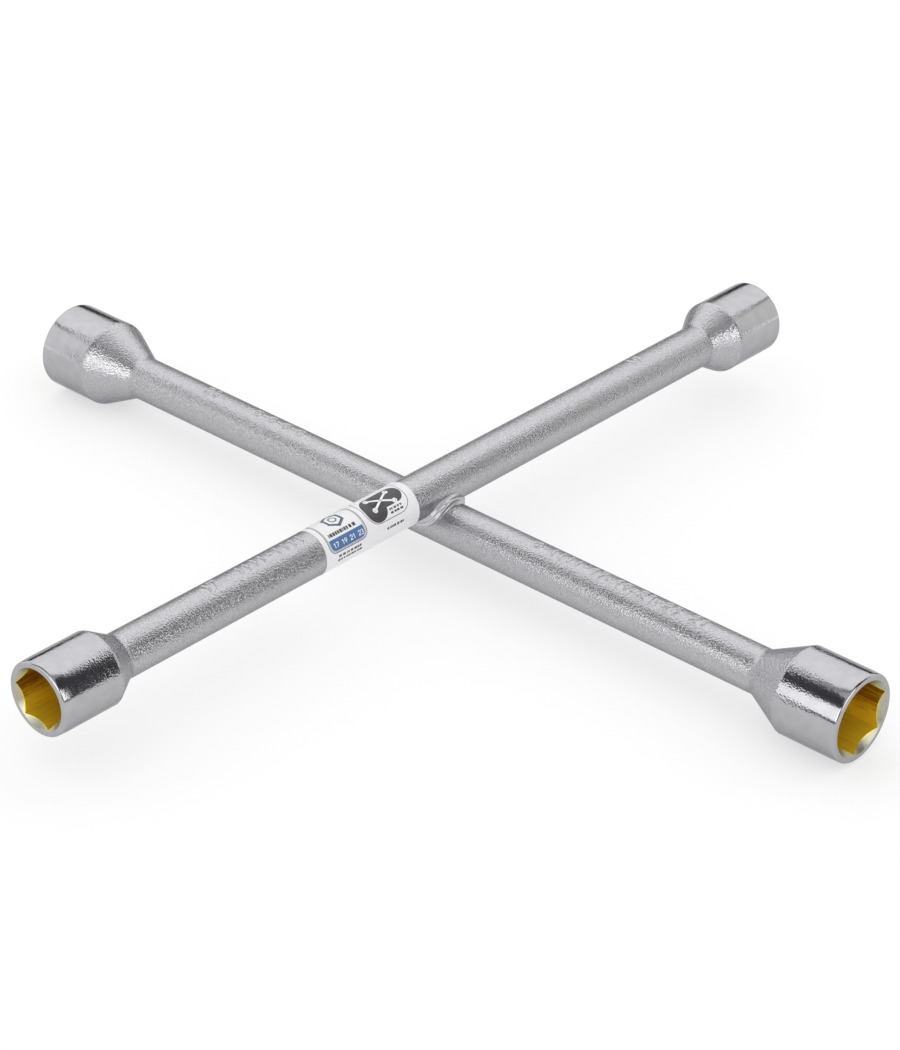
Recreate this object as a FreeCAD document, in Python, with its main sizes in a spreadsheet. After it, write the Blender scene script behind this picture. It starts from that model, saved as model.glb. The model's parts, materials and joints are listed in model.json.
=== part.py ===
import FreeCAD, Part
import math
import os

import Sketcher
from FreeCAD import Placement, Rotation, Vector

# Four-way lug wrench. Two round steel bars are pressed into each other at mid-length and
# welded into a cross, and each of the four ends carries a forged socket for one nut size.
#
# Frame: millimetres, +Z up. The lower bar lies along X and the upper bar along Y. The
# origin is on the ground straight below the crossing, so z = 0 is the lowest point of the
# largest socket when the cross lies flat.

doc = FreeCAD.newDocument("LugWrench")
sheet = doc.addObject("Spreadsheet::Sheet", "Sizes")

COMMON_SIZES = {
    "bar_radius": 7.5,
    "axis_offset": 10.0,  # height of the upper bar's axis above the lower bar's
    "lower_reach": 171.0,  # crossing to the mouths of the 21 and 23 mm sockets
    "upper_reach": 170.0,  # crossing to the mouths of the 17 and 19 mm sockets
    "shank": 5.0,  # plain end of a socket forging, butt-welded to the bar
    "turned_step": 0.12,  # the forged skin stands this proud of the turned cylinder
    "mouth_round": 0.8,
    "mouth_play": 0.3,  # the entry chamfer starts this far outside the hexagon's corners
    "chamfer_overlap": 0.1,  # and ends this far inside its flats
    "bead_leg": 3.3,
    "bead_reach": 10.9,  # the beads stay inside a ball of this radius about the crossing
    "bead_gap": 0.5,  # half of the gap between the two beads under the upper bar
    "bead_span": 14.0,  # half-length of the tools that shape the beads, past the crossing
    "label_near": 57.0,
    "label_far": 14.4,
    "label_skin": 0.12,
}

# Each socket: distance across its flats, and then its outer radius, whole head length, cone
# length, shoulder and neck radii, turned length, hexagon depth, relief bore depth, and the
# turn of the hexagon in its socket in degrees.
SOCKET_KEYS = (
    "flats", "outer", "head", "cone", "shoulder", "neck", "turned", "hexagon", "relief",
    "turn",
)
SOCKETS = {
    17: (17.0, 12.2, 30.7, 7.9, 2.0, 4.0, 22.1, 18.0, 23.0, 8.8),
    19: (19.0, 12.8, 32.0, 9.3, 1.9, 2.8, 22.0, 19.0, 26.0, 25.0),
    21: (21.0, 14.5, 36.3, 13.8, 1.4, 4.2, 22.0, 20.0, 26.0, 39.2),
    23: (23.0, 15.0, 36.0, 15.0, 3.6, 4.0, 20.0, 20.0, 26.0, 15.0),
}
RELIEF_INSET = 1.0  # the relief bore's wall stands this far inside the hexagon's flats
DRILL_ANGLE = 31.0  # slope of the relief bore's drilled bottom, in degrees

# Where each socket sits: the bar's axis, and the sign of its end on that axis.
PLACES = {17: ("y", -1), 19: ("y", 1), 21: ("x", 1), 23: ("x", -1)}


def fill_sheet():
    """Writes every driving dimension to the sheet, one row each, with its alias."""
    sizes = dict(COMMON_SIZES)
    for size, values in SOCKETS.items():
        for key, value in zip(SOCKET_KEYS, values):
            sizes[f"{key}_{size}"] = value
    for row, (alias, value) in enumerate(sizes.items(), start=1):
        sheet.set(f"A{row}", alias)
        sheet.set(f"B{row}", str(value))
        sheet.setAlias(f"B{row}", alias)
    doc.recompute()


def ref(alias):
    """The way an expression names a cell of the sheet."""
    return f"Sizes.{alias}"


# Heights of the two axes, and of the crossing half-way between them: the 23 mm socket's
# forged skin touches the ground.
LOWER_HEIGHT = f"({ref('outer_23')} + {ref('turned_step')})"
UPPER_HEIGHT = f"({LOWER_HEIGHT} + {ref('axis_offset')})"
CROSSING_HEIGHT = f"({LOWER_HEIGHT} + {ref('axis_offset')} / 2)"
ALONG = {"x": Rotation(Vector(0, 1, 0), 90), "y": Rotation(Vector(1, 0, 0), -90)}


# ---------------------------------------------------------------- sketch helpers


def origin_plane(body, role):
    """One of a body's own three origin planes."""
    return next(f for f in body.Origin.OriginFeatures if f.Role == role)


def new_sketch(body, name, role):
    sketch = body.newObject("Sketcher::SketchObject", name)
    sketch.AttachmentSupport = (origin_plane(body, role), [""])
    sketch.MapMode = "FlatFace"
    return sketch


def pin_point(sketch, line, end, axis, value, formula, name):
    """Fixes one coordinate of a line's end: on the axis if it is zero, else by a formula."""
    if formula is None:
        axis_line = -2 if axis == "X" else -1
        sketch.addConstraint(Sketcher.Constraint("PointOnObject", line, end, axis_line))
        return
    kind = "Distance" + axis
    index = sketch.addConstraint(Sketcher.Constraint(kind, -1, 1, line, end, value))
    sketch.renameConstraint(index, name)
    sketch.setExpression(f"Constraints.{name}", formula)


def outline(sketch, corners):
    """A closed outline. Each corner is ((x, formula), (y, formula)); a formula of None
    puts the corner on that axis."""
    count = len(corners)
    points = [Vector(x[0], y[0], 0) for x, y in corners]
    for i in range(count):
        sketch.addGeometry(Part.LineSegment(points[i], points[(i + 1) % count]), False)
    for i in range(count):
        following = (i + 1) % count
        sketch.addConstraint(Sketcher.Constraint("Coincident", i, 2, following, 1))
    for i, (x, y) in enumerate(corners):
        pin_point(sketch, i, 1, "X", x[0], x[1], f"along_{i}")
        pin_point(sketch, i, 1, "Y", y[0], y[1], f"radius_{i}")
    doc.recompute()


def hexagon(sketch, size):
    """A regular hexagon about the origin, driven by its flats and its turn."""
    corner_radius = sheet.get(f"flats_{size}") / math.sqrt(3)
    start = math.radians(sheet.get(f"turn_{size}"))
    corners = []
    for i in range(6):
        angle = start + i * math.pi / 3
        corners.append(Vector(math.cos(angle), math.sin(angle), 0) * corner_radius)
    for i in range(6):
        sketch.addGeometry(Part.LineSegment(corners[i], corners[(i + 1) % 6]), False)
    circle = sketch.addGeometry(Part.Circle(Vector(), Vector(0, 0, 1), corner_radius), True)
    sketch.addConstraint(Sketcher.Constraint("Coincident", circle, 3, -1, 1))
    for i in range(6):
        sketch.addConstraint(Sketcher.Constraint("Coincident", i, 2, (i + 1) % 6, 1))
        sketch.addConstraint(Sketcher.Constraint("PointOnObject", i, 1, circle))
    for i in range(1, 6):
        sketch.addConstraint(Sketcher.Constraint("Equal", 0, i))
    width = sketch.addConstraint(Sketcher.Constraint("Radius", circle, corner_radius))
    sketch.renameConstraint(width, "corner_radius")
    sketch.setExpression("Constraints.corner_radius", f"{ref(f'flats_{size}')} / sqrt(3)")
    spoke = sketch.addGeometry(Part.LineSegment(Vector(), corners[0]), True)
    sketch.addConstraint(Sketcher.Constraint("Coincident", spoke, 1, -1, 1))
    sketch.addConstraint(Sketcher.Constraint("Coincident", spoke, 2, 0, 1))
    turn = sketch.addConstraint(Sketcher.Constraint("Angle", -1, 1, spoke, 1, start))
    sketch.renameConstraint(turn, "turn")
    sketch.setExpression("Constraints.turn", f"{ref(f'turn_{size}')} * 1 deg")
    doc.recompute()


def ring_edge(shape, along, radius):
    """The name of the circular edge about X at that distance and radius."""
    for i, edge in enumerate(shape.Edges, start=1):
        if not isinstance(edge.Curve, Part.Circle):
            continue
        same_place = abs(edge.Curve.Center.x - along) < 1e-4
        if same_place and abs(edge.Curve.Radius - radius) < 1e-4:
            return f"Edge{i}"
    raise RuntimeError(f"no edge of radius {radius} at {along}")


# ---------------------------------------------------------------- sockets


def revolve(body, kind, sketch, name):
    feature = body.newObject(kind, name)
    feature.Profile = sketch
    feature.ReferenceAxis = (sketch, ["H_Axis"])
    feature.Angle = 360.0
    sketch.Visibility = False
    doc.recompute()
    return feature


def fillet(body, name, base, along, radius, size_formula):
    feature = body.newObject("PartDesign::Fillet", name)
    feature.Base = (base, [ring_edge(base.Shape, along, radius)])
    feature.setExpression("Radius", size_formula)
    doc.recompute()
    return feature


def socket_forging(body, size):
    """The outside of a socket: turned cylinder, forged shoulder, cone, neck and shank."""
    now = {key: sheet.get(f"{key}_{size}") for key in SOCKET_KEYS}
    named = {key: ref(f"{key}_{size}") for key in SOCKET_KEYS}
    forged = now["outer"] + sheet.get("turned_step")
    corner = now["head"] - now["cone"]
    end = now["head"] + sheet.get("shank")
    bar = sheet.get("bar_radius")
    forged_formula = f"{named['outer']} + {ref('turned_step')}"
    end_formula = f"{named['head']} + {ref('shank')}"
    sketch = new_sketch(body, f"Forging_{size}", "XZ_Plane")
    outline(sketch, [
        ((0, None), (0, None)),
        ((0, None), (now["outer"], named["outer"])),
        ((now["turned"], named["turned"]), (now["outer"], named["outer"])),
        ((now["turned"], named["turned"]), (forged, forged_formula)),
        ((corner, f"{named['head']} - {named['cone']}"), (forged, forged_formula)),
        ((now["head"], named["head"]), (bar, ref("bar_radius"))),
        ((end, end_formula), (bar, ref("bar_radius"))),
        ((end, end_formula), (0, None)),
    ])
    solid = revolve(body, "PartDesign::Revolution", sketch, f"Blank_{size}")
    solid = fillet(body, f"Shoulder_{size}", solid, corner, forged, named["shoulder"])
    solid = fillet(body, f"Neck_{size}", solid, now["head"], bar, named["neck"])
    return fillet(body, f"Mouth_{size}", solid, 0, now["outer"], ref("mouth_round"))


def entry_chamfer(body, size):
    """The 45 degree funnel that leads a nut into the hexagon."""
    flats = ref(f"flats_{size}")
    inner = sheet.get(f"flats_{size}") / 2 - sheet.get("chamfer_overlap")
    outer = sheet.get(f"flats_{size}") / math.sqrt(3) + sheet.get("mouth_play")
    inner_formula = f"{flats} / 2 - {ref('chamfer_overlap')}"
    outer_formula = f"{flats} / sqrt(3) + {ref('mouth_play')}"
    depth_formula = f"{outer_formula} - ({inner_formula})"
    sketch = new_sketch(body, f"Entry_{size}", "XZ_Plane")
    outline(sketch, [
        ((0, None), (0, None)),
        ((0, None), (outer, outer_formula)),
        ((outer - inner, depth_formula), (inner, inner_formula)),
        ((outer - inner, depth_formula), (0, None)),
    ])
    return revolve(body, "PartDesign::Groove", sketch, f"EntryChamfer_{size}")


def relief_bore(body, size):
    """The round drilled hole behind the hexagon, clear of a long wheel stud."""
    radius = sheet.get(f"flats_{size}") / 2 - RELIEF_INSET
    depth = sheet.get(f"relief_{size}")
    slope = math.tan(math.radians(DRILL_ANGLE))
    radius_formula = f"{ref(f'flats_{size}')} / 2 - {RELIEF_INSET}"
    depth_formula = ref(f"relief_{size}")
    tip_formula = f"{depth_formula} + ({radius_formula}) * tan({DRILL_ANGLE} deg)"
    sketch = new_sketch(body, f"Relief_{size}", "XZ_Plane")
    outline(sketch, [
        ((0, None), (0, None)),
        ((0, None), (radius, radius_formula)),
        ((depth, depth_formula), (radius, radius_formula)),
        ((depth + radius * slope, tip_formula), (0, None)),
    ])
    return revolve(body, "PartDesign::Groove", sketch, f"ReliefBore_{size}")


def hexagon_pocket(body, size):
    sketch = new_sketch(body, f"Hexagon_{size}", "YZ_Plane")
    hexagon(sketch, size)
    pocket = body.newObject("PartDesign::Pocket", f"HexagonPocket_{size}")
    pocket.Profile = sketch
    pocket.Type = 0
    pocket.Reversed = True
    pocket.setExpression("Length", ref(f"hexagon_{size}"))
    sketch.Visibility = False
    doc.recompute()
    return pocket


def make_socket(size):
    """One socket. Its own X runs inward from the mouth, and its placement puts the mouth at
    the reach of its bar with X turned towards the crossing."""
    body = doc.addObject("PartDesign::Body", f"Socket{size}")
    body.Label = f"socket_{size}"
    forging = socket_forging(body, size)
    full = forging.Shape.Volume
    chamfered = entry_chamfer(body, size).Shape.Volume
    drilled = relief_bore(body, size).Shape.Volume
    broached = hexagon_pocket(body, size).Shape.Volume
    if not full > chamfered > drilled > broached:
        raise RuntimeError(f"a cut in the {size} mm socket removed nothing")
    axis, end = PLACES[size]
    inward = Vector(-end, 0, 0) if axis == "x" else Vector(0, -end, 0)
    up = Vector(0, 0, 1)
    body.Placement = Placement(Vector(), Rotation(inward, up.cross(inward), up, "XYZ"))
    reach = ref("lower_reach") if axis == "x" else ref("upper_reach")
    height = LOWER_HEIGHT if axis == "x" else UPPER_HEIGHT
    body.setExpression(f"Placement.Base.{axis}", f"{end} * {reach}")
    body.setExpression("Placement.Base.z", height)
    return body


# ---------------------------------------------------------------- bars, beads and label


def rod(name, axis, height, start, length, radius):
    """A cylinder along X or Y from start, every size a formula."""
    cylinder = doc.addObject("Part::Cylinder", name)
    cylinder.Placement = Placement(Vector(), ALONG[axis])
    cylinder.setExpression("Radius", radius)
    cylinder.setExpression("Height", length)
    cylinder.setExpression(f"Placement.Base.{axis}", start)
    cylinder.setExpression("Placement.Base.z", height)
    return cylinder


def block(name, low, size):
    """A box whose lowest corner and size are formulas."""
    box = doc.addObject("Part::Box", name)
    for axis, value in zip("xyz", low):
        box.setExpression(f"Placement.Base.{axis}", value)
    for side, value in zip(("Length", "Width", "Height"), size):
        box.setExpression(side, value)
    return box


def boolean(kind, name, base, tool):
    result = doc.addObject(kind, name)
    result.Base = base
    result.Tool = tool
    return result


def bar_rod(name, axis, height, reach, near, far):
    """A whole bar from the shank of its near socket to the shank of its far one."""
    start = f"-({ref(reach)} - {ref(f'head_{near}')} - {ref('shank')})"
    length = (
        f"2 * {ref(reach)} - {ref(f'head_{near}')} - {ref(f'head_{far}')}"
        f" - 2 * {ref('shank')}"
    )
    return rod(name, axis, height, start, length, ref("bar_radius"))


def make_bars():
    """The two bars. Each is pressed in by the other down to the plane half-way between
    their axes, which leaves a saddle-shaped pocket with a flat floor in both."""
    span = ref("bead_span")
    sides = (f"2 * {span}", f"2 * {span}", span)
    above = block("AboveMiddle", (f"-{span}", f"-{span}", CROSSING_HEIGHT), sides)
    below_start = (f"-{span}", f"-{span}", f"{CROSSING_HEIGHT} - {span}")
    below = block("BelowMiddle", below_start, sides)
    lower_rod = bar_rod("LowerRod", "x", LOWER_HEIGHT, "lower_reach", 23, 21)
    upper_rod = bar_rod("UpperRod", "y", UPPER_HEIGHT, "upper_reach", 17, 19)
    upper_dent = boolean("Part::Common", "UpperDent", upper_rod, above)
    lower_dent = boolean("Part::Common", "LowerDent", lower_rod, below)
    lower = boolean("Part::Cut", "LowerBar", lower_rod, upper_dent)
    upper = boolean("Part::Cut", "UpperBar", upper_rod, lower_dent)
    lower.Label = "lower_bar"
    upper.Label = "upper_bar"
    return [lower, upper], lower_rod, upper_rod


def make_beads(lower_rod, upper_rod):
    """The two fillet welds, left and right of the upper bar. Each fills the corner between
    the bars along the saddle-shaped line where their surfaces meet."""
    span = ref("bead_span")
    fat = f"{ref('bar_radius')} + {ref('bead_leg')}"
    fat_lower = rod("FatLower", "x", LOWER_HEIGHT, f"-{span}", f"2 * {span}", fat)
    fat_upper = rod("FatUpper", "y", UPPER_HEIGHT, f"-{span}", f"2 * {span}", fat)
    ball = doc.addObject("Part::Sphere", "BeadBall")
    ball.setExpression("Radius", ref("bead_reach"))
    ball.setExpression("Placement.Base.z", CROSSING_HEIGHT)
    shared = boolean("Part::Common", "BeadCorner", fat_lower, fat_upper)
    stock = boolean("Part::Common", "BeadStock", shared, ball)
    without_lower = boolean("Part::Cut", "BeadOverLower", stock, lower_rod)
    ring = boolean("Part::Cut", "BeadRing", without_lower, upper_rod)
    sides = (span, f"2 * {span}", f"4 * {span}")
    starts = {"right": ref("bead_gap"), "left": f"-{ref('bead_gap')} - {span}"}
    beads = []
    for side, start in starts.items():
        half = block(f"Half_{side}", (start, f"-{span}", f"-{span}"), sides)
        bead = boolean("Part::Common", f"WeldBead_{side}", ring, half)
        bead.Label = f"weld_bead_{side}"
        beads.append(bead)
    return beads


def make_label():
    """The vinyl label, wrapped once round the upper bar beside the crossing."""
    start = f"-{ref('label_near')}"
    length = f"{ref('label_near')} - {ref('label_far')}"
    radius = ref("bar_radius")
    outside = rod(
        "LabelOutside", "y", UPPER_HEIGHT, start, length, f"{radius} + {ref('label_skin')}"
    )
    inside = rod("LabelInside", "y", UPPER_HEIGHT, start, length, radius)
    label = boolean("Part::Cut", "LabelSleeve", outside, inside)
    label.Label = "label"
    return label


# ---------------------------------------------------------------- checks and export


def check(parts):
    """Stops if any object failed, or a sub-part is not one valid solid."""
    for item in doc.Objects:
        if "Invalid" in item.State or "Error" in item.State:
            raise RuntimeError(f"{item.Name} failed: {item.State}")
    for part in parts:
        shape = part.Shape
        if shape.isNull() or not shape.isValid() or len(shape.Solids) != 1:
            raise RuntimeError(f"{part.Label} is not one valid solid")
        box = shape.BoundBox
        print(
            f"{part.Label:16} {shape.Volume:10.1f} mm3"
            f"  x {box.XMin:8.2f} {box.XMax:8.2f}"
            f"  y {box.YMin:8.2f} {box.YMax:8.2f}"
            f"  z {box.ZMin:7.2f} {box.ZMax:7.2f}"
        )


def export(parts):
    os.makedirs("parts", exist_ok=True)
    for part in parts:
        part.Shape.exportStep(f"parts/{part.Label}.step")


fill_sheet()
bars, lower_rod, upper_rod = make_bars()
beads = make_beads(lower_rod, upper_rod)
sockets = [make_socket(size) for size in SOCKETS]
parts = bars + sockets + beads + [make_label()]
doc.recompute()
check(parts)
export(parts)
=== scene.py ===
import json
import math

import bmesh
import bpy
import numpy as np
from mathutils import Matrix, Vector


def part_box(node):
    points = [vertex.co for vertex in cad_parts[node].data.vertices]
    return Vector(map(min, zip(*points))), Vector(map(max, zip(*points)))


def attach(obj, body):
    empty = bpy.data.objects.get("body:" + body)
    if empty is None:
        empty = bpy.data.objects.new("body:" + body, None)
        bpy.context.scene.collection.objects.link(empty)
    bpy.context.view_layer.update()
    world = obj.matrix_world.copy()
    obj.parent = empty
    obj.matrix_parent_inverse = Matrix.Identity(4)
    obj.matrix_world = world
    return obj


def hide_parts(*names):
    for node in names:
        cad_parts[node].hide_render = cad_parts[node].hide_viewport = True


# The looks of a four-way lug wrench: two blasted, chrome-plated bars welded into a cross, a
# socket with a turned, polished mouth and a yellow lacquered hexagon on each end, and a
# printed vinyl label beside the crossing. Shapes are worked out in millimetres in a piece's
# own frame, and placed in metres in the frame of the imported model.

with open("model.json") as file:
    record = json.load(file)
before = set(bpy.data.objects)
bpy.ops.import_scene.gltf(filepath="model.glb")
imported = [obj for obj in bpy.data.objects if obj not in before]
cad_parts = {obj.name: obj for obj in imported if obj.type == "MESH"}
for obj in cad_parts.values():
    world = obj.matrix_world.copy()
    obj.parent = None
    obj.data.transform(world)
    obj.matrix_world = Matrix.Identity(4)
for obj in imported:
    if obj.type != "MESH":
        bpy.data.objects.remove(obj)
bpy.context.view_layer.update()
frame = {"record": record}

MM = 0.001
UP = Vector((0, 0, 1))
mounts = {mount["name"]: mount for mount in frame["record"]["mounts"]}
LOWER_AXIS = mounts["hexagon_21"]["pos_m"][2]
UPPER_AXIS = mounts["hexagon_17"]["pos_m"][2]
AXIS_GAP = (UPPER_AXIS - LOWER_AXIS) / MM
CROSSING = Vector((0, 0, (LOWER_AXIS + UPPER_AXIS) / 2))

BAR_RADIUS = 7.5
SHANK = 5.0  # plain end of a socket forging
FORGED_STEP = 0.02  # the forged skin stands this proud of the turned cylinder
EDGE_ROUND = 0.05
MOUTH_ROUND = 0.8
CROWN_LENGTH = 3.5  # how far the polished sleeve eases in towards its mouth
CROWN_ROUND = 40.0
MOUTH_PLAY = 0.3  # the entry chamfer starts this far outside the hexagon's corners
POLISHED_SKIN = 0.5  # thickness of the turned shell that is shown as a piece of its own
LACQUER = 0.08
RELIEF_INSET = 1.0  # how much nearer the axis the relief bore's wall is than the flats
DRILL_ANGLE = 31.0
DRILL_POINT = 0.05  # radius at which the drilled tip is closed

# Each socket, in millimetres and degrees: outer radius, length of the head and of the cone in
# it, fillets at shoulder and neck, length of the turned sleeve, depth of the hexagon and of
# the relief bore, the hexagon's turn in its own frame, and how far the mouth is drawn in.
SOCKETS = {
    17: dict(outer=12.2, head=30.7, cone=7.9, shoulder=2.0, neck=4.0, turned=22.1,
             hexagon=18.0, relief=23.0, turn=8.8, crown=0.22),
    19: dict(outer=12.8, head=32.0, cone=9.3, shoulder=1.9, neck=2.8, turned=22.0,
             hexagon=19.0, relief=26.0, turn=25.0, crown=0.04),
    21: dict(outer=14.5, head=36.3, cone=13.8, shoulder=1.4, neck=4.2, turned=22.0,
             hexagon=20.0, relief=26.0, turn=39.2, crown=0.12),
    23: dict(outer=15.0, head=36.0, cone=15.0, shoulder=3.6, neck=4.0, turned=20.0,
             hexagon=20.0, relief=26.0, turn=15.0, crown=0.04),
}


# ---------------------------------------------------------------- materials


def node(tree, kind, inputs=None, **settings):
    """A new shader node, with its settings, and its inputs linked or set."""
    made = tree.nodes.new(kind)
    for key, value in settings.items():
        setattr(made, key, value)
    for key, value in (inputs or {}).items():
        if isinstance(value, bpy.types.NodeSocket):
            tree.links.new(value, made.inputs[key])
        else:
            made.inputs[key].default_value = value
    return made


def new_material(name, **sockets):
    """A material with a Principled shader whose plain sockets are set by name."""
    material = bpy.data.materials.new(name)
    material.use_nodes = True
    shader = material.node_tree.nodes["Principled BSDF"]
    for key, value in sockets.items():
        shader.inputs[key.replace("_", " ")].default_value = value
    return material, material.node_tree, shader


def local_place(tree, stretch=(1, 1, 1)):
    """Where a point lies in its piece's own frame, in millimetres, stretched per axis."""
    place = node(tree, "ShaderNodeAttribute", attribute_name="local_mm")
    scaled = node(
        tree, "ShaderNodeVectorMath", {0: place.outputs["Vector"], 1: stretch},
        operation="MULTIPLY",
    )
    return scaled.outputs["Vector"]


def speckle(tree, place, per_mm, detail=2.0, rough=0.5):
    """Noise with about that many spots to the millimetre."""
    made = node(
        tree, "ShaderNodeTexNoise",
        {"Vector": place, "Scale": per_mm, "Detail": detail, "Roughness": rough},
    )
    return made.outputs["Fac"]


def dents(tree, place, per_mm):
    """Close-set round dents, about that many to the millimetre, deepest in their middles."""
    made = node(
        tree, "ShaderNodeTexVoronoi",
        {"Vector": place, "Scale": per_mm, "Randomness": 1.0, "Smoothness": 0.3},
        feature="SMOOTH_F1",
    )
    return made.outputs["Distance"]


def tones(tree, value, *stops):
    """Colours along a value, each stop being (position, colour)."""
    made = node(tree, "ShaderNodeValToRGB", {"Fac": value})
    ramp = made.color_ramp
    while len(ramp.elements) < len(stops):
        ramp.elements.new(1.0)
    for element, (position, colour) in zip(ramp.elements, stops):
        element.position = position
        element.color = (*colour, 1.0)
    return made.outputs["Color"]


def spread(tree, value, low, high, start=0.3, end=0.7):
    """A value stretched from start..end to low..high."""
    made = node(
        tree, "ShaderNodeMapRange",
        {"Value": value, "From Min": start, "From Max": end, "To Min": low, "To Max": high},
    )
    return made.outputs["Result"]


def bumps(tree, shader, *layers):
    """Stacks bump layers, each (height, depth in millimetres), and gives them to the shader."""
    normal = None
    for height, depth in layers:
        inputs = {"Height": height, "Distance": depth * MM, "Strength": 1.0}
        if normal is not None:
            inputs["Normal"] = normal
        normal = node(tree, "ShaderNodeBump", inputs).outputs["Normal"]
    tree.links.new(normal, shader.inputs["Normal"])


def blasted_chrome():
    """Shot-blasted steel under satin chrome: a close sparkle of small dents."""
    material, tree, shader = new_material(
        "blasted_chrome", Metallic=1.0, Specular_Tint=(0.55, 0.55, 0.57, 1.0),
    )
    place = local_place(tree)
    grain = speckle(tree, place, 2.1, detail=1.5)
    cloud = speckle(tree, place, 0.12, detail=3.0)
    colour = tones(
        tree, grain,
        (0.28, (0.37, 0.365, 0.38)),
        (0.50, (0.45, 0.445, 0.46)),
        (0.72, (0.53, 0.525, 0.54)),
    )
    tree.links.new(colour, shader.inputs["Base Color"])
    tree.links.new(spread(tree, cloud, 0.25, 0.30), shader.inputs["Roughness"])
    bumps(tree, shader, (grain, 0.05), (dents(tree, place, 1.7), 0.11))
    return material


def turned_chrome():
    """Turned, polished and chromed: faint rings of tool marks, and dents that the polishing
    has left, more of them further from the mouth."""
    material, tree, shader = new_material(
        "turned_chrome", Metallic=1.0, Specular_Tint=(0.6, 0.6, 0.62, 1.0),
    )
    place = local_place(tree)
    rings = speckle(tree, local_place(tree, (1.0, 0.04, 0.04)), 5.0, detail=2.0)
    cloud = speckle(tree, place, 0.25, detail=2.0)
    from_mouth = node(tree, "ShaderNodeSeparateXYZ", {0: place}).outputs["X"]
    depth = spread(tree, from_mouth, 0.2, 1.0, start=3.0, end=20.0)
    faded = node(
        tree, "ShaderNodeMath", {0: dents(tree, place, 1.6), 1: depth}, operation="MULTIPLY",
    )
    colour = tones(
        tree, cloud,
        (0.30, (0.41, 0.41, 0.425)),
        (0.70, (0.45, 0.45, 0.465)),
    )
    tree.links.new(colour, shader.inputs["Base Color"])
    tree.links.new(spread(tree, rings, 0.10, 0.17), shader.inputs["Roughness"])
    bumps(tree, shader, (faded.outputs["Value"], 0.055), (rings, 0.006))
    return material


def yellow_lacquer():
    """Transparent yellow lacquer over the streaky broached hexagon. Its colour is painted
    browner on the upper walls and yellowest on the lower ones, as painted light and shade for
    how light falls inside."""
    material, tree, shader = new_material(
        "yellow_lacquer", Metallic=0.5, Specular_Tint=(0.8, 0.6, 0.2, 1.0),
        Coat_Weight=0.15, Coat_Roughness=0.25,
    )
    place = local_place(tree)
    streaks = speckle(tree, local_place(tree, (0.02, 1.0, 1.0)), 3.2, detail=3.0, rough=0.65)
    cloud = spread(tree, speckle(tree, place, 0.35, detail=3.0), 0.06, 0.14)
    # Painted shade: walls above the socket's axis are made browner, grading to yellowest 5 mm
    # below it, for how light falls into the hexagon; the cloud is the lacquer's own uneven
    # tone.
    height = node(tree, "ShaderNodeSeparateXYZ", {0: place}).outputs["Z"]
    painted_shade_by_height = spread(tree, height, 0.15, -0.16, start=-5.0, end=0.0)
    tone_and_painted_shade = node(tree, "ShaderNodeMath", {0: cloud, 1: painted_shade_by_height}, operation="ADD")
    mixed = node(
        tree, "ShaderNodeMath", {0: streaks, 1: 0.8, 2: tone_and_painted_shade.outputs["Value"]},
        operation="MULTIPLY_ADD",
    )
    colour = tones(
        tree, mixed.outputs["Value"],
        (0.34, (0.34, 0.145, 0.006)),
        (0.48, (0.74, 0.40, 0.012)),
        (0.60, (1.0, 0.71, 0.030)),
    )
    tree.links.new(colour, shader.inputs["Base Color"])
    tree.links.new(spread(tree, streaks, 0.28, 0.42), shader.inputs["Roughness"])
    bumps(tree, shader, (streaks, 0.06))
    return material


def chamfer_lacquer(name, dark, light):
    """The entry chamfer, where a thin coat of lacquer tints the bright turned metal."""
    material, tree, shader = new_material(
        name, Metallic=1.0, Specular_Tint=(0.6, 0.6, 0.5, 1.0),
    )
    patches = speckle(tree, local_place(tree), 0.8, detail=3.0)
    colour = tones(tree, patches, (0.35, dark), (0.60, light))
    tree.links.new(colour, shader.inputs["Base Color"])
    tree.links.new(spread(tree, patches, 0.30, 0.42), shader.inputs["Roughness"])
    bumps(tree, shader, (patches, 0.015))
    return material


def weld_metal():
    """Weld metal under the plating, smoother and brighter than the blasted bars."""
    material, tree, shader = new_material(
        "weld_metal", Metallic=1.0, Specular_Tint=(0.7, 0.7, 0.71, 1.0),
    )
    scale = speckle(tree, local_place(tree), 2.0, detail=3.0)
    colour = tones(
        tree, scale,
        (0.32, (0.50, 0.495, 0.51)),
        (0.65, (0.62, 0.615, 0.63)),
    )
    tree.links.new(colour, shader.inputs["Base Color"])
    tree.links.new(spread(tree, scale, 0.34, 0.44), shader.inputs["Roughness"])
    bumps(tree, shader, (scale, 0.02))
    return material


def print_material(name, light, dark, roughness):
    """Vinyl or printed ink: a nearly even colour with faint mottling and a soft gloss."""
    material, tree, shader = new_material(name)
    mottle = speckle(tree, local_place(tree), 1.2, detail=4.0)
    tree.links.new(tones(tree, mottle, (0.3, dark), (0.7, light)), shader.inputs["Base Color"])
    gloss = spread(tree, mottle, roughness, roughness + 0.1)
    tree.links.new(gloss, shader.inputs["Roughness"])
    bumps(tree, shader, (mottle, 0.008))
    return material


# ---------------------------------------------------------------- meshes


def add_piece(name, mesh, materials, slot, *nodes):
    """Puts a mesh in the scene as a piece that rides on the wrench and replaces CAD nodes."""
    for material in materials:
        mesh.materials.append(material)
    piece = bpy.data.objects.new(name, mesh)
    bpy.context.scene.collection.objects.link(piece)
    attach(piece, "root")
    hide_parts(*nodes)


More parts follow.
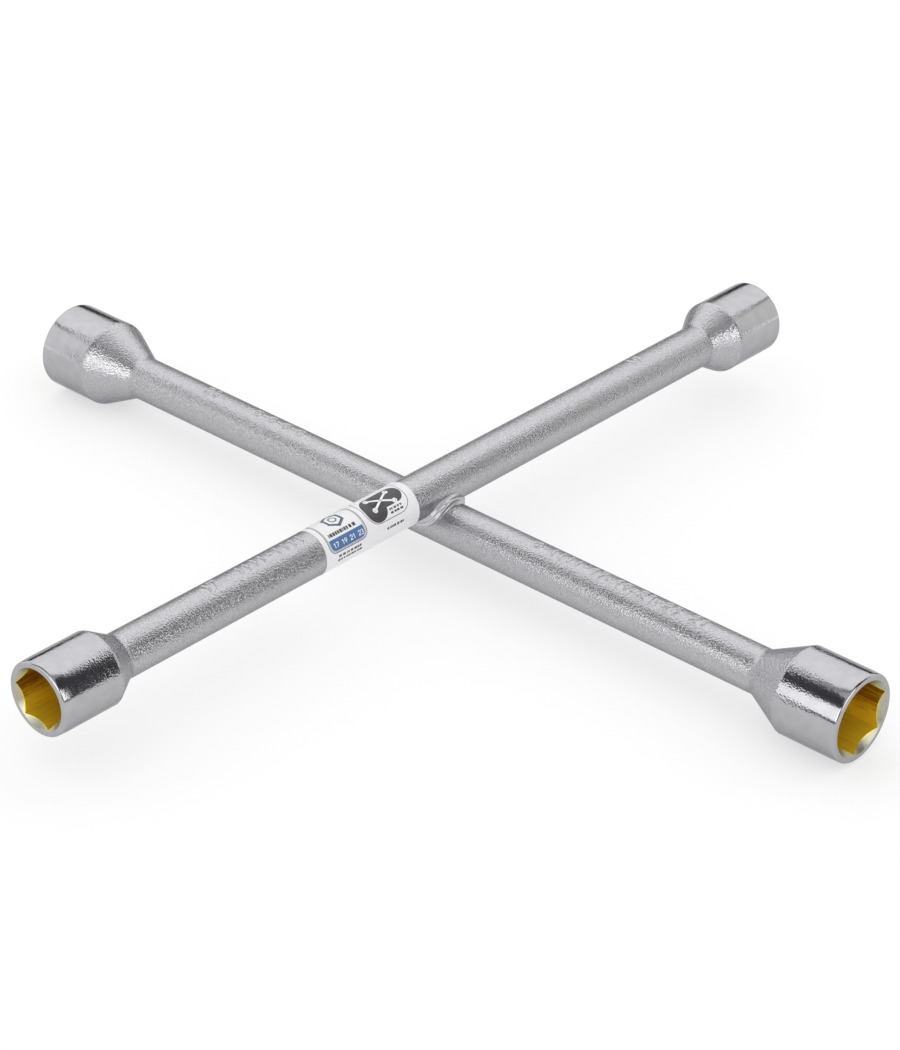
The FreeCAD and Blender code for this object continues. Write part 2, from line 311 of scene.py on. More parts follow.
def finish_mesh(bm, name, place, sharp_angle):
    """Turns a bmesh in local millimetres into a mesh in metres, with its local places kept
    as an attribute for the materials."""
    bmesh.ops.recalc_face_normals(bm, faces=bm.faces[:])
    mesh = bpy.data.meshes.new(name)
    bm.to_mesh(mesh)
    bm.free()
    local = np.empty(len(mesh.vertices) * 3, np.float32)
    mesh.vertices.foreach_get("co", local)
    attribute = mesh.attributes.new("local_mm", "FLOAT_VECTOR", "POINT")
    attribute.data.foreach_set("vector", local)
    mesh.transform(place @ Matrix.Scale(MM, 4))
    mesh.shade_smooth()
    mesh.set_sharp_from_angle(angle=math.radians(sharp_angle))
    return mesh


def skin(name, rings, place, closed=False, sharp_angle=30.0, tint=()):
    """A mesh through rings of equally many points. It either closes on itself, or is capped
    at both ends. The gaps from each ring to the next take the materials numbered in tint."""
    bm = bmesh.new()
    rows = [[bm.verts.new(point) for point in ring] for ring in rings]
    around = len(rows[0])
    for i in range(len(rows) if closed else len(rows) - 1):
        near, far = rows[i], rows[(i + 1) % len(rows)]
        for j in range(around):
            k = (j + 1) % around
            face = bm.faces.new((near[j], near[k], far[k], far[j]))
            face.material_index = tint[i] if i < len(tint) else 0
    if not closed:
        bm.faces.new(rows[0])
        bm.faces.new(rows[-1])
    return finish_mesh(bm, name, place, sharp_angle)


def rounded(corners, step=6.0):
    """An outline through corners given as (along, radius, fillet), with the fillets drawn."""
    points = []
    for i, (along, radius, fillet) in enumerate(corners):
        here = Vector((along, radius))
        if not fillet:
            points.append(here)
            continue
        before = (Vector(corners[i - 1][:2]) - here).normalized()
        after = (Vector(corners[(i + 1) % len(corners)][:2]) - here).normalized()
        half = before.angle(after) / 2
        centre = here + (before + after).normalized() * (fillet / math.sin(half))
        first = here + before * (fillet / math.tan(half)) - centre
        last = here + after * (fillet / math.tan(half)) - centre
        turn = first.angle_signed(last)
        count = max(2, math.ceil(math.degrees(abs(turn)) / step))
        for j in range(count + 1):
            points.append(centre + Matrix.Rotation(-turn * j / count, 2) @ first)
    return points


def circle(along, radius, angles):
    """A ring of points about local X; the radius may differ at each angle."""
    radius = np.broadcast_to(radius, angles.shape)
    along = np.broadcast_to(along, angles.shape)
    return np.stack((along, radius * np.cos(angles), radius * np.sin(angles)), axis=1)


def bell(offset, width):
    """1 at no offset, falling to nearly nothing at twice the width."""
    return np.exp(-((offset / width) ** 2))


# ---------------------------------------------------------------- stamped and printed marks


def arc(x, y, radius, start, end, step=20.0):
    """Points along an arc, its angles in degrees."""
    count = max(2, math.ceil(abs(end - start) / step))
    angles = np.radians(np.linspace(start, end, count + 1))
    return [(x + radius * math.cos(a), y + radius * math.sin(a)) for a in angles]


# The strokes of each character, in a cell 0.6 wide and 1 high. "#" is a plain hexagon.
GLYPHS = {
    "1": [[(0.08, 0.74), (0.36, 1.0), (0.36, 0.0)]],
    "2": [arc(0.3, 0.7, 0.3, 170, -35) + [(0.0, 0.0), (0.6, 0.0)]],
    "3": [arc(0.28, 0.76, 0.24, 150, -90), arc(0.28, 0.26, 0.26, 90, -150)],
    "7": [[(0.0, 1.0), (0.6, 1.0), (0.22, 0.0)]],
    "9": [arc(0.3, 0.7, 0.28, 0, 360), [(0.57, 0.62), (0.3, 0.0)]],
    "x": [[(0.08, 0.1), (0.52, 0.6)], [(0.52, 0.1), (0.08, 0.6)]],
    "#": [arc(0.3, 0.5, 0.42, 0, 360, step=60)],
    "|": [[(0.3, 0.05), (0.3, 0.95)]],
    "-": [[(0.08, 0.5), (0.52, 0.5)]],
    " ": [],
}
PITCH = 0.82  # from one character to the next, in character heights


def text_strokes(text, start, base, height):
    """The strokes of a line of characters as points in millimetres."""
    strokes = []
    for i, character in enumerate(text):
        left = start + i * PITCH * height
        for stroke in GLYPHS[character]:
            strokes.append([(left + x * height, base + y * height) for x, y in stroke])
    return strokes


def stroke_distance(u, v, strokes):
    """How far each point is from the nearest stroke."""
    nearest = np.full(u.shape, 1e3)
    for stroke in strokes:
        for (x0, y0), (x1, y1) in zip(stroke, stroke[1:]):
            dx, dy = x1 - x0, y1 - y0
            share = ((u - x0) * dx + (v - y0) * dy) / (dx * dx + dy * dy)
            share = np.clip(share, 0.0, 1.0)
            gap = np.hypot(u - x0 - share * dx, v - y0 - share * dy)
            nearest = np.minimum(nearest, gap)
    return nearest


# ---------------------------------------------------------------- bars

STAMP_HEIGHT = 4.0
STAMP_DEPTH = 0.22
STAMP_HALF_WIDTH = 0.30
BURR_HEIGHT = 0.06
BURR_PLACE = 0.63  # its distance from the middle of the stamped line
BURR_WIDTH = 0.21
TOP = math.pi / 2

# What is stamped on top of each bar, and where it starts along the bar.
LOWER_MARKS = [("#-||||-17x19x21x23", 44.0), ("21", 107.0), ("#-#-#-#", -80.0), ("23", -103.0)]
UPPER_MARKS = [("17", -103.0), ("||||-||||", -89.0), ("19", 100.0)]

# The mesh of a bar is fine under the marks and in the pocket, and coarse elsewhere.
FINE_ALONG, COARSE_ALONG = 0.22, 4.0
FINE_ROUND, COARSE_ROUND = 0.028, 0.087  # in radians
MARK_MARGIN = 1.0
MARK_REACH = 4.6  # round the bar, to each side of its top
POCKET_REACH = 9.0


def stamped_height(along, around, marks):
    """How far the stamped marks press the surface in, with the burr that they push up."""
    strokes = []
    for text, start in marks:
        strokes += text_strokes(text, start, -STAMP_HEIGHT / 2, STAMP_HEIGHT)
    gap = stroke_distance(along, around, strokes)
    burr = BURR_HEIGHT * bell(gap - BURR_PLACE, BURR_WIDTH)
    return burr - STAMP_DEPTH * bell(gap, STAMP_HALF_WIDTH)


def spaced(start, end, fine_spans, fine, coarse):
    """Values from start to end, closer together inside the fine spans."""
    cuts = sorted({start, end, *(edge for span in fine_spans for edge in span)})
    values = []
    for low, high in zip(cuts, cuts[1:]):
        inside = any(a <= (low + high) / 2 <= b for a, b in fine_spans)
        count = math.ceil((high - low) / (fine if inside else coarse))
        values += list(np.linspace(low, high, count, endpoint=False))
    return np.array(values + [end])


def pocket(along, height, towards):
    """Heights in a bar's section, pressed in where the other bar lies: down to its surface,
    or to the plane half-way between the axes."""
    other_axis = AXIS_GAP * towards
    inside = along**2 + (height - other_axis) ** 2 < BAR_RADIUS**2
    depth = np.sqrt(np.maximum(BAR_RADIUS**2 - along**2, 0.0))
    bottom = np.maximum(AXIS_GAP - depth, AXIS_GAP / 2) * towards
    return np.where(inside, bottom, height)


def make_bar(name, cad_node, place, start, end, pressed_towards, marks, material):
    """A round bar along its local X. The other bar has pressed a pocket into it, on the side
    of local Z given by pressed_towards."""
    fine_spans = [(-POCKET_REACH, POCKET_REACH)]
    for text, first in marks:
        last = first + len(text) * PITCH * STAMP_HEIGHT
        fine_spans.append((first - MARK_MARGIN, last + MARK_MARGIN))
    band = (TOP - MARK_REACH / BAR_RADIUS, TOP + MARK_REACH / BAR_RADIUS)
    rows = spaced(start, end, fine_spans, FINE_ALONG, COARSE_ALONG)
    angles = spaced(0.0, 2 * math.pi, [band], FINE_ROUND, COARSE_ROUND)[:-1]
    along, angle = np.meshgrid(rows, angles, indexing="ij")
    radius = BAR_RADIUS + stamped_height(along, (TOP - angle) * BAR_RADIUS, marks)
    side, height = radius * np.cos(angle), radius * np.sin(angle)
    rings = np.stack((along, side, pocket(along, height, pressed_towards)), axis=2)
    mesh = skin(name, rings, place, sharp_angle=50.0)
    add_piece(name, mesh, [material], "satin_bar", cad_node)


def placement(origin, along):
    """The matrix whose local X is along and whose local Z is up."""
    side = UP.cross(along)
    rotation = Matrix((along, side, UP)).transposed().to_4x4()
    return Matrix.Translation(origin) @ rotation


ON_LOWER_BAR = placement(Vector((0, 0, LOWER_AXIS)), Vector((1, 0, 0)))
ON_UPPER_BAR = placement(Vector((0, 0, UPPER_AXIS)), Vector((0, 1, 0)))


def make_bars(material):
    lower_low, lower_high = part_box("lower_bar")
    upper_low, upper_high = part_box("upper_bar")
    make_bar("bar_lower", "lower_bar", ON_LOWER_BAR, lower_low.x / MM, lower_high.x / MM, 1,
             LOWER_MARKS, material)
    make_bar("bar_upper", "upper_bar", ON_UPPER_BAR, upper_low.y / MM, upper_high.y / MM, -1,
             UPPER_MARKS, material)


# ---------------------------------------------------------------- sockets

SPOKES = 288  # points round a socket, a multiple of six so that hexagon corners are hit
SPOKE_ANGLES = np.arange(SPOKES) * 2 * math.pi / SPOKES  # from the hexagon's first corner
STREAK_DEPTH = 0.012  # of the broaching marks along the hexagon's walls
CHAMFER_STAIN = 0.84  # how far down the entry chamfer its lacquer has worn thin


def turned(size, outline):
    """A ring for each (along, radius) of an outline, about the axis of a socket. A radius can
    also be one number for each spoke."""
    angles = SPOKE_ANGLES + math.radians(SOCKETS[size]["turn"])
    return [circle(along, radius, angles) for along, radius in outline]


def mouth_radius(size, offset):
    """Where the entry chamfer begins, when the bore is grown outwards by offset."""
    return size / math.sqrt(3) + MOUTH_PLAY + math.sqrt(2) * offset


def bore_rings(size, offset, streaks):
    """The inside of a socket from mouth to relief bore, grown outwards by offset."""
    third = math.pi / 3
    wall = (size / 2 + offset) / np.cos((SPOKE_ANGLES % third) - third / 2) + streaks
    mouth = mouth_radius(size, offset)
    stain = mouth - (mouth - wall) * CHAMFER_STAIN
    bottom = SOCKETS[size]["hexagon"] + offset
    return turned(size, [
        (0.0, mouth), (mouth - stain, stain), (mouth - wall, wall), (bottom, wall),
        (bottom, size / 2 - RELIEF_INSET),
    ])


def make_sleeve(size, place, material):
    """The turned and polished cylinder with its rounded mouth."""
    shape = SOCKETS[size]
    outer, end, lip = shape["outer"], shape["turned"], mouth_radius(size, LACQUER)
    outline = rounded([
        (0.0, lip, 0), (0.0, outer - shape["crown"], MOUTH_ROUND),
        (CROWN_LENGTH, outer, CROWN_ROUND), (end, outer, 0), (end, outer - POLISHED_SKIN, 0),
        (POLISHED_SKIN, outer - POLISHED_SKIN, 0), (POLISHED_SKIN, lip - POLISHED_SKIN, 0),
    ])
    mesh = skin(f"socket_{size}_sleeve", turned(size, outline), place, closed=True)
    add_piece(mesh.name, mesh, [material], "polished_chrome", f"socket_{size}")


def make_hexagon(size, place, materials):
    """The lacquered inside, streaked by the broach. Materials are for the walls, for the worn
    part of the entry chamfer and for the edge between them."""
    streaks = np.random.default_rng(size).normal(0.0, STREAK_DEPTH, SPOKES)
    streaks[:: SPOKES // 6] = 0.0
    rings = bore_rings(size, 0.0, streaks) + bore_rings(size, LACQUER, 0.0)[::-1]
    mesh = skin(
        f"socket_{size}_hexagon", rings, place, closed=True, sharp_angle=25.0,
        tint=(1, 2) + (0,) * (len(rings) - 3) + (1,),
    )
    add_piece(mesh.name, mesh, materials, "hexagon_lacquer", f"socket_{size}")


def make_forging(size, place, material):
    """The forged body: the drilled and broached inside, and the shoulder, cone and neck."""
    shape = SOCKETS[size]
    outer, lip, bore = shape["outer"], mouth_radius(size, LACQUER), size / 2 - RELIEF_INSET
    forged = outer + FORGED_STEP
    tip = shape["relief"] + bore * math.tan(math.radians(DRILL_ANGLE))
    inside = turned(size, [(tip, DRILL_POINT), (shape["relief"], bore)])
    inside += bore_rings(size, LACQUER, 0.0)[:0:-1]
    outside = rounded([
        (POLISHED_SKIN, lip - POLISHED_SKIN, 0), (POLISHED_SKIN, outer - POLISHED_SKIN, 0),
        (shape["turned"], outer - POLISHED_SKIN, 0), (shape["turned"], forged, EDGE_ROUND),
        (shape["head"] - shape["cone"], forged, shape["shoulder"]),
        (shape["head"], BAR_RADIUS, shape["neck"]), (shape["head"] + SHANK, BAR_RADIUS, 0),
    ])
    mesh = skin(f"socket_{size}_forging", inside + turned(size, outside), place)
    add_piece(mesh.name, mesh, [material], "forged_socket", f"socket_{size}")


def make_sockets(forged, polished, lacquers):
    """Each socket as three shells: turned sleeve, lacquered hexagon, and forging."""
    for size in SOCKETS:
        mouth = mounts[f"hexagon_{size}"]
        place = placement(Vector(mouth["pos_m"]), -Vector(mouth["axis"]))
        make_sleeve(size, place, polished)
        make_hexagon(size, place, lacquers)
        make_forging(size, place, forged)


# ---------------------------------------------------------------- weld beads

BEAD_SECTIONS = 200
BEAD_POINTS = 30
BEAD_END = 88.0  # how far each bead runs round from the +X or -X side, in degrees
BEAD_LEG = 3.4
BEAD_FULLNESS = 0.58  # how far the face bulges from the corner, as a share of both legs
TOE_SINK = 0.12  # how deep the bead's edges lie under the bars' surfaces
ROOT_SINK = 0.9  # how deep its root lies under the corner

STRAND_SWAY = 0.24  # how far each strand strays from the middle, as a share of the width
STRAND_WIDTH = 0.15
OVER_HEIGHT, UNDER_HEIGHT = 0.70, 0.48  # of the strand on top and of the one under it
VALLEY = 0.50  # how deep the face lies between the strands
RIPPLE_HEIGHT, ROLL_HEIGHT = 0.015, 0.05
LUMP_HEIGHT, LUMP_PLACE, LUMP_LENGTH = 0.6, 0.965, 0.045


def meeting_point(angle):
    """The point where the two bars' surfaces meet, in the direction angle about the
    crossing; z is measured from half-way between the axes. Each pass halves the search."""
    across, along = math.cos(angle), math.sin(angle)
    low, high = -AXIS_GAP / 2, AXIS_GAP / 2
    for _ in range(40):
        z = (low + high) / 2
        y = math.sqrt(max(BAR_RADIUS**2 - (z + AXIS_GAP / 2) ** 2, 0.0))
        x = math.sqrt(max(BAR_RADIUS**2 - (z - AXIS_GAP / 2) ** 2, 0.0))
        if y * abs(across) > x * abs(along):
            low = z
        else:
            high = z
    return Vector((math.copysign(x, across), math.copysign(y, along), z))


def toe(point, which):
    """The point moved to just under the surface of the upper or the lower bar."""
    if which == "upper":
        centre = Vector((0, point.y, AXIS_GAP / 2))
    else:
        centre = Vector((point.x, 0, -AXIS_GAP / 2))
    return centre + (point - centre).normalized() * (BAR_RADIUS - TOE_SINK)


def bead_height(share, t, wobble):
    """How far the bead's face stands out, share of the way along it and t of the way from
    its edge on the upper bar to the one on the lower bar."""
    sway = STRAND_SWAY * math.cos(math.pi * (1.25 * share - 0.15))
    over = OVER_HEIGHT * bell(t - 0.5 - sway, STRAND_WIDTH)
    under = UNDER_HEIGHT * bell(t - 0.5 + sway, STRAND_WIDTH)
    ripple = RIPPLE_HEIGHT * math.sin(share * 110 + 14.0 * (t - 0.5) ** 2 + wobble[2])
    roll = ROLL_HEIGHT * math.sin(17 * share + 4 * t + wobble[3])
    lump = LUMP_HEIGHT * bell(share - LUMP_PLACE, LUMP_LENGTH)
    return over + under + ripple + roll + lump - VALLEY


def bead_ring(share, side, wobble):
    """One section of a bead, share of the way from the front (-Y) to the back (+Y)."""
    sweep = math.radians(BEAD_END * (2 * share - 1))
    corner = meeting_point(sweep if side > 0 else math.pi - sweep)
    upper_normal = Vector((corner.x, 0, corner.z - AXIS_GAP / 2)).normalized()
    lower_normal = Vector((0, corner.y, corner.z + AXIS_GAP / 2)).normalized()
    outward = (upper_normal + lower_normal).normalized()
    along = upper_normal.cross(lower_normal).normalized()
    upper_leg = BEAD_LEG * (0.92 + 0.08 * math.sin(9 * share + wobble[0]))
    lower_leg = BEAD_LEG * (0.98 + 0.08 * math.sin(13 * share + wobble[1]))
    on_upper = along.cross(upper_normal)
    on_upper *= math.copysign(upper_leg, on_upper.dot(lower_normal))
    on_lower = along.cross(lower_normal)
    on_lower *= math.copysign(lower_leg, on_lower.dot(upper_normal))
    upper_toe = toe(corner + on_upper, "upper")
    lower_toe = toe(corner + on_lower, "lower")
    control = corner + (on_upper + on_lower) * BEAD_FULLNESS
    ring = []
    for t in np.linspace(0.0, 1.0, BEAD_POINTS):
        point = upper_toe * (1 - t) ** 2 + control * 2 * t * (1 - t) + lower_toe * t * t
        edge = math.sin(math.pi * t) ** 0.5 if 0 < t < 1 else 0.0
        ring.append(point + outward * bead_height(share, t, wobble) * edge)
    return ring + [corner - outward * ROOT_SINK]


def make_bead(name, cad_node, side, seed, material):
    """A fillet weld of two strands that cross once, with a lump where it was broken off. Its
    legs, ripples and rolls wobble by chance, so that the two beads differ."""
    wobble = np.random.default_rng(seed).uniform(0, 2 * math.pi, 4)
    shares = [i / (BEAD_SECTIONS - 1) for i in range(BEAD_SECTIONS)]
    rings = [bead_ring(share, side, wobble) for share in shares]
    mesh = skin(name, rings, Matrix.Translation(CROSSING), sharp_angle=60.0)
    add_piece(name, mesh, [material], "weld_metal", cad_node)


# ---------------------------------------------------------------- label

VINYL = 0.12
SEAM_ANGLE = -23.5
FLAP = 22.0  # how far the label's end laps over its start, in degrees
FLAP_SLOPE = 0.8  # the share of the flap over which it comes down
FLAP_LIFT = 0.9 * VINYL
WRAP_POINTS, WRAP_RINGS = 240, 12
SINK = 0.01  # how deep the vinyl's inside lies under the bar's surface
INK = 0.012
INK_CUT = 0.35  # the print is cut into strips this wide, to bend round the bar


def make_label(start, end, material):
    """The vinyl label, wrapped round the upper bar with its end lapped over its start."""
    wrapped = np.linspace(0, 360, WRAP_POINTS, endpoint=False)
    angles = np.radians(wrapped + 180 - SEAM_ANGLE)
    lift = FLAP_LIFT * np.clip((FLAP - wrapped) / (FLAP * FLAP_SLOPE), 0, 1)
    outside = BAR_RADIUS + VINYL + lift
    inside = BAR_RADIUS - SINK
    rings = [circle(along, outside, angles) for along in np.linspace(start, end, WRAP_RINGS)]
    rings += [circle(end, inside, angles), circle(start, inside, angles)]
    mesh = skin("label_vinyl", rings, ON_UPPER_BAR, closed=True, sharp_angle=25.0)
    add_piece("label_vinyl", mesh, [material], "label_vinyl", "label")


def rounded_box(left, bottom, right, top, radius, inset=0.0):
    """The outline of a box with round corners, moved inwards by inset."""
    r = radius - inset
    corners = (
        (right - radius, top - radius, 0), (left + radius, top - radius, 90),
        (left + radius, bottom + radius, 180), (right - radius, bottom + radius, 270),
    )
    points = []
    for x, y, start in corners:
        points += arc(x, y, r, start, start + 90, step=15)
    return points


def ribbon(points, width):
    """The outline of a line of that width through points, as one four-sided cell each."""
    cells = []
    for (x0, y0), (x1, y1) in zip(points, points[1:]):
        dx, dy = x1 - x0, y1 - y0
        length = math.hypot(dx, dy)
        nx, ny = -dy / length * width / 2, dx / length * width / 2
        ex, ey = dx / length * width / 4, dy / length * width / 4
        cells.append([
            (x0 + nx - ex, y0 + ny - ey), (x0 - nx - ex, y0 - ny - ey),
            (x1 - nx + ex, y1 - ny + ey), (x1 + nx + ex, y1 + ny + ey),
        ])
    return cells


def frame_cells(left, bottom, right, top, radius, width):
    """A line of that width round a rounded box, as four-sided cells."""
    outer = rounded_box(left, bottom, right, top, radius)
    inner = rounded_box(left, bottom, right, top, radius, inset=width)
    count = len(outer)
    return [
        [outer[i], outer[(i + 1) % count], inner[(i + 1) % count], inner[i]]
        for i in range(count)
    ]


DASH_LENGTHS = (0.3, 1.3)
DASH_GAPS = (0.22, 0.5)
DASH_MARGIN = 0.4  # no dash starts nearer than this to the end of its row


def dashes(start, end, base, height, seed):
    """A row of short bars in place of small print."""
    rng = np.random.default_rng(seed)
    cells = []
    x = start
    while x < end - DASH_MARGIN:
        length = min(rng.uniform(*DASH_LENGTHS), end - x)
        top, right = base + height, x + length
        cells.append([(x, base), (right, base), (right, top), (x, top)])
        x += length + rng.choice(DASH_GAPS)
    return cells


def print_ink(name, cells, start, layer, material, slot):
    """Prints flat cells on the label: they are cut finely, thickened and wrapped round it."""
    bm = bmesh.new()
    for cell in cells:
        bm.faces.new([bm.verts.new((x, y, 0)) for x, y in cell])
    ys = [vert.co.y for vert in bm.verts]
    for y in np.arange(min(ys) + INK_CUT, max(ys), INK_CUT):
        everything = bm.verts[:] + bm.edges[:] + bm.faces[:]
        bmesh.ops.bisect_plane(bm, geom=everything, plane_co=(0, y, 0), plane_no=(0, 1, 0))
    grown = bmesh.ops.extrude_face_region(bm, geom=bm.faces[:], use_keep_orig=True)
    for item in grown["geom"]:
        if isinstance(item, bmesh.types.BMVert):
            item.co.z = 1.0
    surface = BAR_RADIUS + VINYL
    for vert in bm.verts:
        angle = math.pi - vert.co.y / surface
        radius = surface - INK + (layer + 1) * INK * vert.co.z
        along = start + vert.co.x
        vert.co = Vector((along, radius * math.cos(angle), radius * math.sin(angle)))
    mesh = finish_mesh(bm, name, ON_UPPER_BAR, 40.0)
    add_piece(name, mesh, [material], slot, "label")


# The print's layout: x along the bar from the label's end near the 17 mm socket, and y round
# it, upwards from its +X side. Boxes are left, bottom, right and top.
NUT_PANEL = (2.0, 1.3, 19.0, 17.6)
CROSS_PANEL = (20.9, 3.0, 39.6, 17.9)
BAND = (2.9, 2.1, 18.0, 9.3)
BAND_TOP = 5.9  # where the band's box is cut off straight
CROSS_LEFT, CROSS_LOW, CROSS_RIGHT, CROSS_HIGH = 25.6, 7.7, 34.6, 12.3

# Rows in place of small print: start, end, base, height, and the seed of their lengths.
SMALL_PRINT = [
    (3.9, 16.7, 6.7, 1.2, 3), (5.4, 15.6, -0.5, 0.8, 4), (5.1, 16.1, -2.0, 0.8, 5),
    (27.5, 36.0, 0.0, 0.8, 6), (30.6, 36.0, 5.5, 0.65, 8), (30.6, 36.8, 4.3, 0.65, 9),
]


def print_frames(start, ink):
    """A double line round the nut's panel and a single one round the cross's."""
    left, bottom, right, top = NUT_PANEL
    cells = frame_cells(left, bottom, right, top, 2.8, 0.30)
    cells += frame_cells(left + 0.55, bottom + 0.5, right - 0.55, top - 0.5, 2.4, 0.14)
    cells += frame_cells(*CROSS_PANEL, 4.8, 0.22)
    print_ink("label_print_grey", cells, start, 1, ink, "label_ink_dark")


def print_nut(start, ink):
    cells = ribbon(arc(10.6, 12.6, 3.4, 30, 390, step=60), 0.95)
    cells += ribbon(arc(10.6, 12.5, 1.25, 0, 360), 0.45)
    print_ink("label_print_slate", cells, start, 1, ink, "label_ink_blue")


def print_rows(start, ink):
    """The rows of small print, and the dark ground of the white cross."""
    cells = [cell for row in SMALL_PRINT for cell in dashes(*row)]
    cells.append(rounded_box(21.6, 3.4, 30.2, 13.7, 4.2))
    cells.append(rounded_box(25.0, 6.9, 39.0, 13.7, 3.3))
    print_ink("label_print_dark", cells, start, 1, ink, "label_ink_dark")


def print_band(start, ink):
    """The blue ground of the white sizes."""
    band = [(x, min(y, BAND_TOP)) for x, y in rounded_box(*BAND, 2.0)]
    print_ink("label_print_blue", [band], start, 1, ink, "label_ink_blue")


def print_white(start, ink):
    """The sizes and the cross, in a second layer on their coloured grounds."""
    cells = []
    for stroke in text_strokes("17 19 21 23", 4.1, 3.1, 1.5):
        cells += ribbon(stroke, 0.26)
    rising = ((CROSS_LEFT, CROSS_LOW), (CROSS_RIGHT, CROSS_HIGH))
    falling = ((CROSS_LEFT, CROSS_HIGH), (CROSS_RIGHT, CROSS_LOW))
    for ends in (rising, falling):
        cells += ribbon(ends, 0.75)
        for x, y in ends:
            cells += ribbon(arc(x, y, 0.75, 0, 360, step=60), 0.5)
    print_ink("label_print_white", cells, start, 2, ink, "label_vinyl")


def make_print(start):
    """Generic print: a panel with a nut and a blue band of sizes, and a panel with a cross."""
    dark = print_material("ink_dark", (0.060, 0.054, 0.060), (0.045, 0.040, 0.046), 0.35)
    blue = print_material("ink_blue", (0.065, 0.165, 0.36), (0.050, 0.140, 0.32), 0.35)
    slate = print_material("ink_slate", (0.075, 0.125, 0.175), (0.060, 0.105, 0.150), 0.4)
    grey = print_material("ink_grey", (0.10, 0.10, 0.105), (0.07, 0.07, 0.075), 0.4)
    white = print_material("ink_white", (0.80, 0.81, 0.84), (0.76, 0.77, 0.80), 0.35)
    print_frames(start, grey)
    print_nut(start, slate)
    print_rows(start, dark)
    print_band(start, blue)
    print_white(start, white)


# ---------------------------------------------------------------- studio

VIEW_AZIMUTH = 41.08
VIEW_ELEVATION = 30.68
VIEW_ROLL = 1.47
VIEW_DISTANCE = 1.0475
LENS = 111.0
AIM_RIGHT = 0.00585  # how far the view is centred beside and above the crossing
AIM_UP = -0.00769


def view_axes():
    """The directions backwards, right and up as the camera sees them, before its roll."""
    azimuth, elevation = math.radians(VIEW_AZIMUTH), math.radians(VIEW_ELEVATION)
    back = Vector((
        math.sin(azimuth) * math.cos(elevation),
        -math.cos(azimuth) * math.cos(elevation),
        math.sin(elevation),
    ))
    right = Vector((math.cos(azimuth), math.sin(azimuth), 0))
    return back, right, back.cross(right)


def make_camera():
    back, right, up = view_axes()
    roll = math.radians(VIEW_ROLL)
    rolled_right = math.cos(roll) * right + math.sin(roll) * up
    rolled_up = math.cos(roll) * up - math.sin(roll) * right
    aim = CROSSING + AIM_RIGHT * rolled_right + AIM_UP * rolled_up
    data = bpy.data.cameras.new("camera")
    data.lens = LENS
    data.sensor_width = 36.0
    data.clip_start = 0.05
    camera = bpy.data.objects.new("camera", data)
    rotation = Matrix((rolled_right, rolled_up, back)).transposed().to_4x4()
    camera.matrix_world = Matrix.Translation(aim + VIEW_DISTANCE * back) @ rotation
    bpy.context.scene.collection.objects.link(camera)
    bpy.context.scene.camera = camera


def make_floor():
    """A white light table: it glows a little, so that the wrench's shadow stays faint."""
    half = 12.0
    mesh = bpy.data.meshes.new("floor")
    corners = [(-half, -half, 0), (half, -half, 0), (half, half, 0), (-half, half, 0)]
    mesh.from_pydata(corners, [], [(0, 1, 2, 3)])
    material, _, _ = new_material(
        "floor", Base_Color=(0.45, 0.45, 0.45, 1.0), Roughness=0.8, Specular_IOR_Level=0.1,
        Emission_Color=(1.0, 1.0, 1.0, 1.0), Emission_Strength=0.53,
    )
    mesh.materials.append(material)
    floor = bpy.data.objects.new("floor", mesh)
    bpy.context.scene.collection.objects.link(floor)


def ground_axes():
    """The directions along the floor that the camera sees as sideways and away."""
    sideways = view_axes()[1]
    return sideways, UP.cross(sideways)


def softbox(name, right, forward, height, size, radiance, facing=None, colour=(1, 1, 1)):
    """An area light placed from the camera's side of the studio: right of the wrench,
    forward from it, and above the floor. Without facing it points straight down."""
    width, depth = size
    sideways, away = ground_axes()
    data = bpy.data.lights.new(name, "AREA")
    data.color = colour
    data.shape = "RECTANGLE"
    data.size, data.size_y = width, depth
    if facing is None:
        rotation = Matrix((sideways, away, UP)).transposed()
    else:
        toward = sideways * facing[0] + away * facing[1]
        rotation = Matrix((UP.cross(-toward), UP, -toward)).transposed()
    data.energy = radiance * math.pi * width * depth
    light = bpy.data.objects.new(name, data)
    spot = sideways * right + away * forward + UP * height
    light.matrix_world = Matrix.Translation(spot) @ rotation.to_4x4()
    light.visible_camera = False
    light.visible_diffuse = False
    bpy.context.scene.collection.objects.link(light)


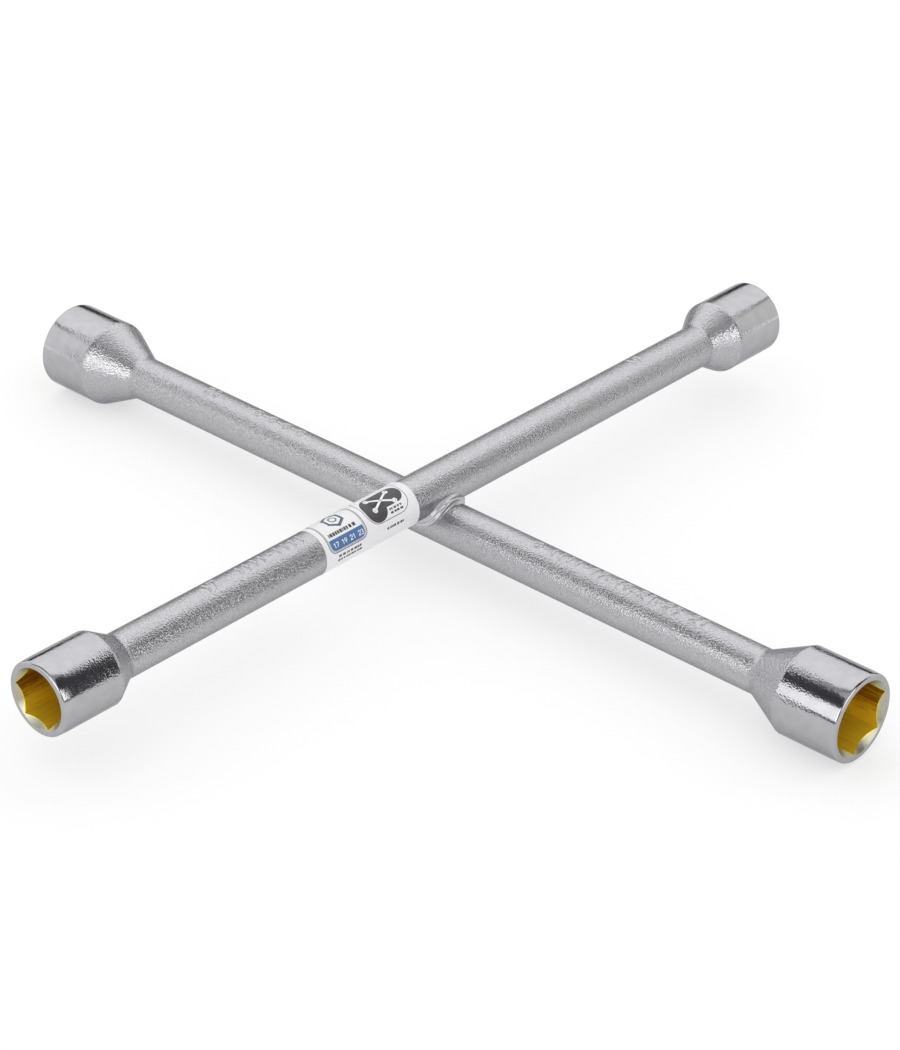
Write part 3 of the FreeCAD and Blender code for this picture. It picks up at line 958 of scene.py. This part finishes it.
def make_lights():
    """A white tent that is open at the front, with three bright softboxes before it. The gaps
    between its sheets, and below them, draw dark lines on the chrome. Places and sizes are
    in metres."""
    softbox("top", 0.005, 0.495, 1.0, (2.19, 0.81), 1.38)
    softbox("back", 0.015, 0.90, 0.635, (2.27, 0.73), 1.35, facing=(0, -1))
    softbox("left", -1.12, 0.40, 0.465, (1.0, 0.93), 1.15, facing=(1, 0))
    softbox("right", 1.15, 0.50, 0.465, (0.8, 0.93), 1.0, facing=(-1, 0),
            colour=(1.0, 0.985, 0.95))
    softbox("front_left_far", -1.04, -0.546, 0.50, (0.72, 0.74), 1.8, facing=(0.594, 0.805))
    softbox("front_left_near", -0.46, -0.974, 0.50, (0.72, 0.74), 2.8, facing=(0.594, 0.805))
    softbox("front_right", 0.85, -0.78, 0.50, (0.86, 0.74), 2.4, facing=(-0.763, 0.647))
    softbox("front_top", 0.0, -0.42, 1.0, (1.0, 0.85), 0.65)


def make_world():
    """Even white light on everything matt, and a dark studio in the reflections."""
    world = bpy.data.worlds.new("studio")
    world.use_nodes = True
    tree = world.node_tree
    tree.nodes.clear()
    rays = node(tree, "ShaderNodeLightPath")
    tent = node(tree, "ShaderNodeBackground", {"Color": (1.0, 1.0, 1.0, 1.0), "Strength": 1.08})
    room = node(tree, "ShaderNodeBackground", {"Color": (0.9, 0.9, 1.0, 1.0), "Strength": 0.07})
    mix = node(
        tree, "ShaderNodeMixShader",
        {0: rays.outputs["Is Glossy Ray"], 1: tent.outputs[0], 2: room.outputs[0]},
    )
    output = node(tree, "ShaderNodeOutputWorld")
    tree.links.new(mix.outputs[0], output.inputs["Surface"])
    bpy.context.scene.world = world


bpy.context.scene.view_settings.view_transform = "Standard"
make_camera()
make_floor()
make_lights()
make_world()

blasted = blasted_chrome()
make_bars(blasted)
make_sockets(blasted, turned_chrome(), [
    yellow_lacquer(),
    chamfer_lacquer("worn_lacquer", (0.41, 0.39, 0.30), (0.48, 0.46, 0.36)),
    chamfer_lacquer("edge_lacquer", (0.56, 0.50, 0.05), (0.64, 0.60, 0.15)),
])
weld = weld_metal()
make_bead("bead_right", "weld_bead_right", 1, 7, weld)
make_bead("bead_left", "weld_bead_left", -1, 11, weld)
label_low, label_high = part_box("label")
vinyl = print_material("vinyl", (0.78, 0.78, 0.80), (0.74, 0.74, 0.76), 0.3)
make_label(label_low.y / MM, label_high.y / MM, vinyl)
make_print(label_low.y / MM)
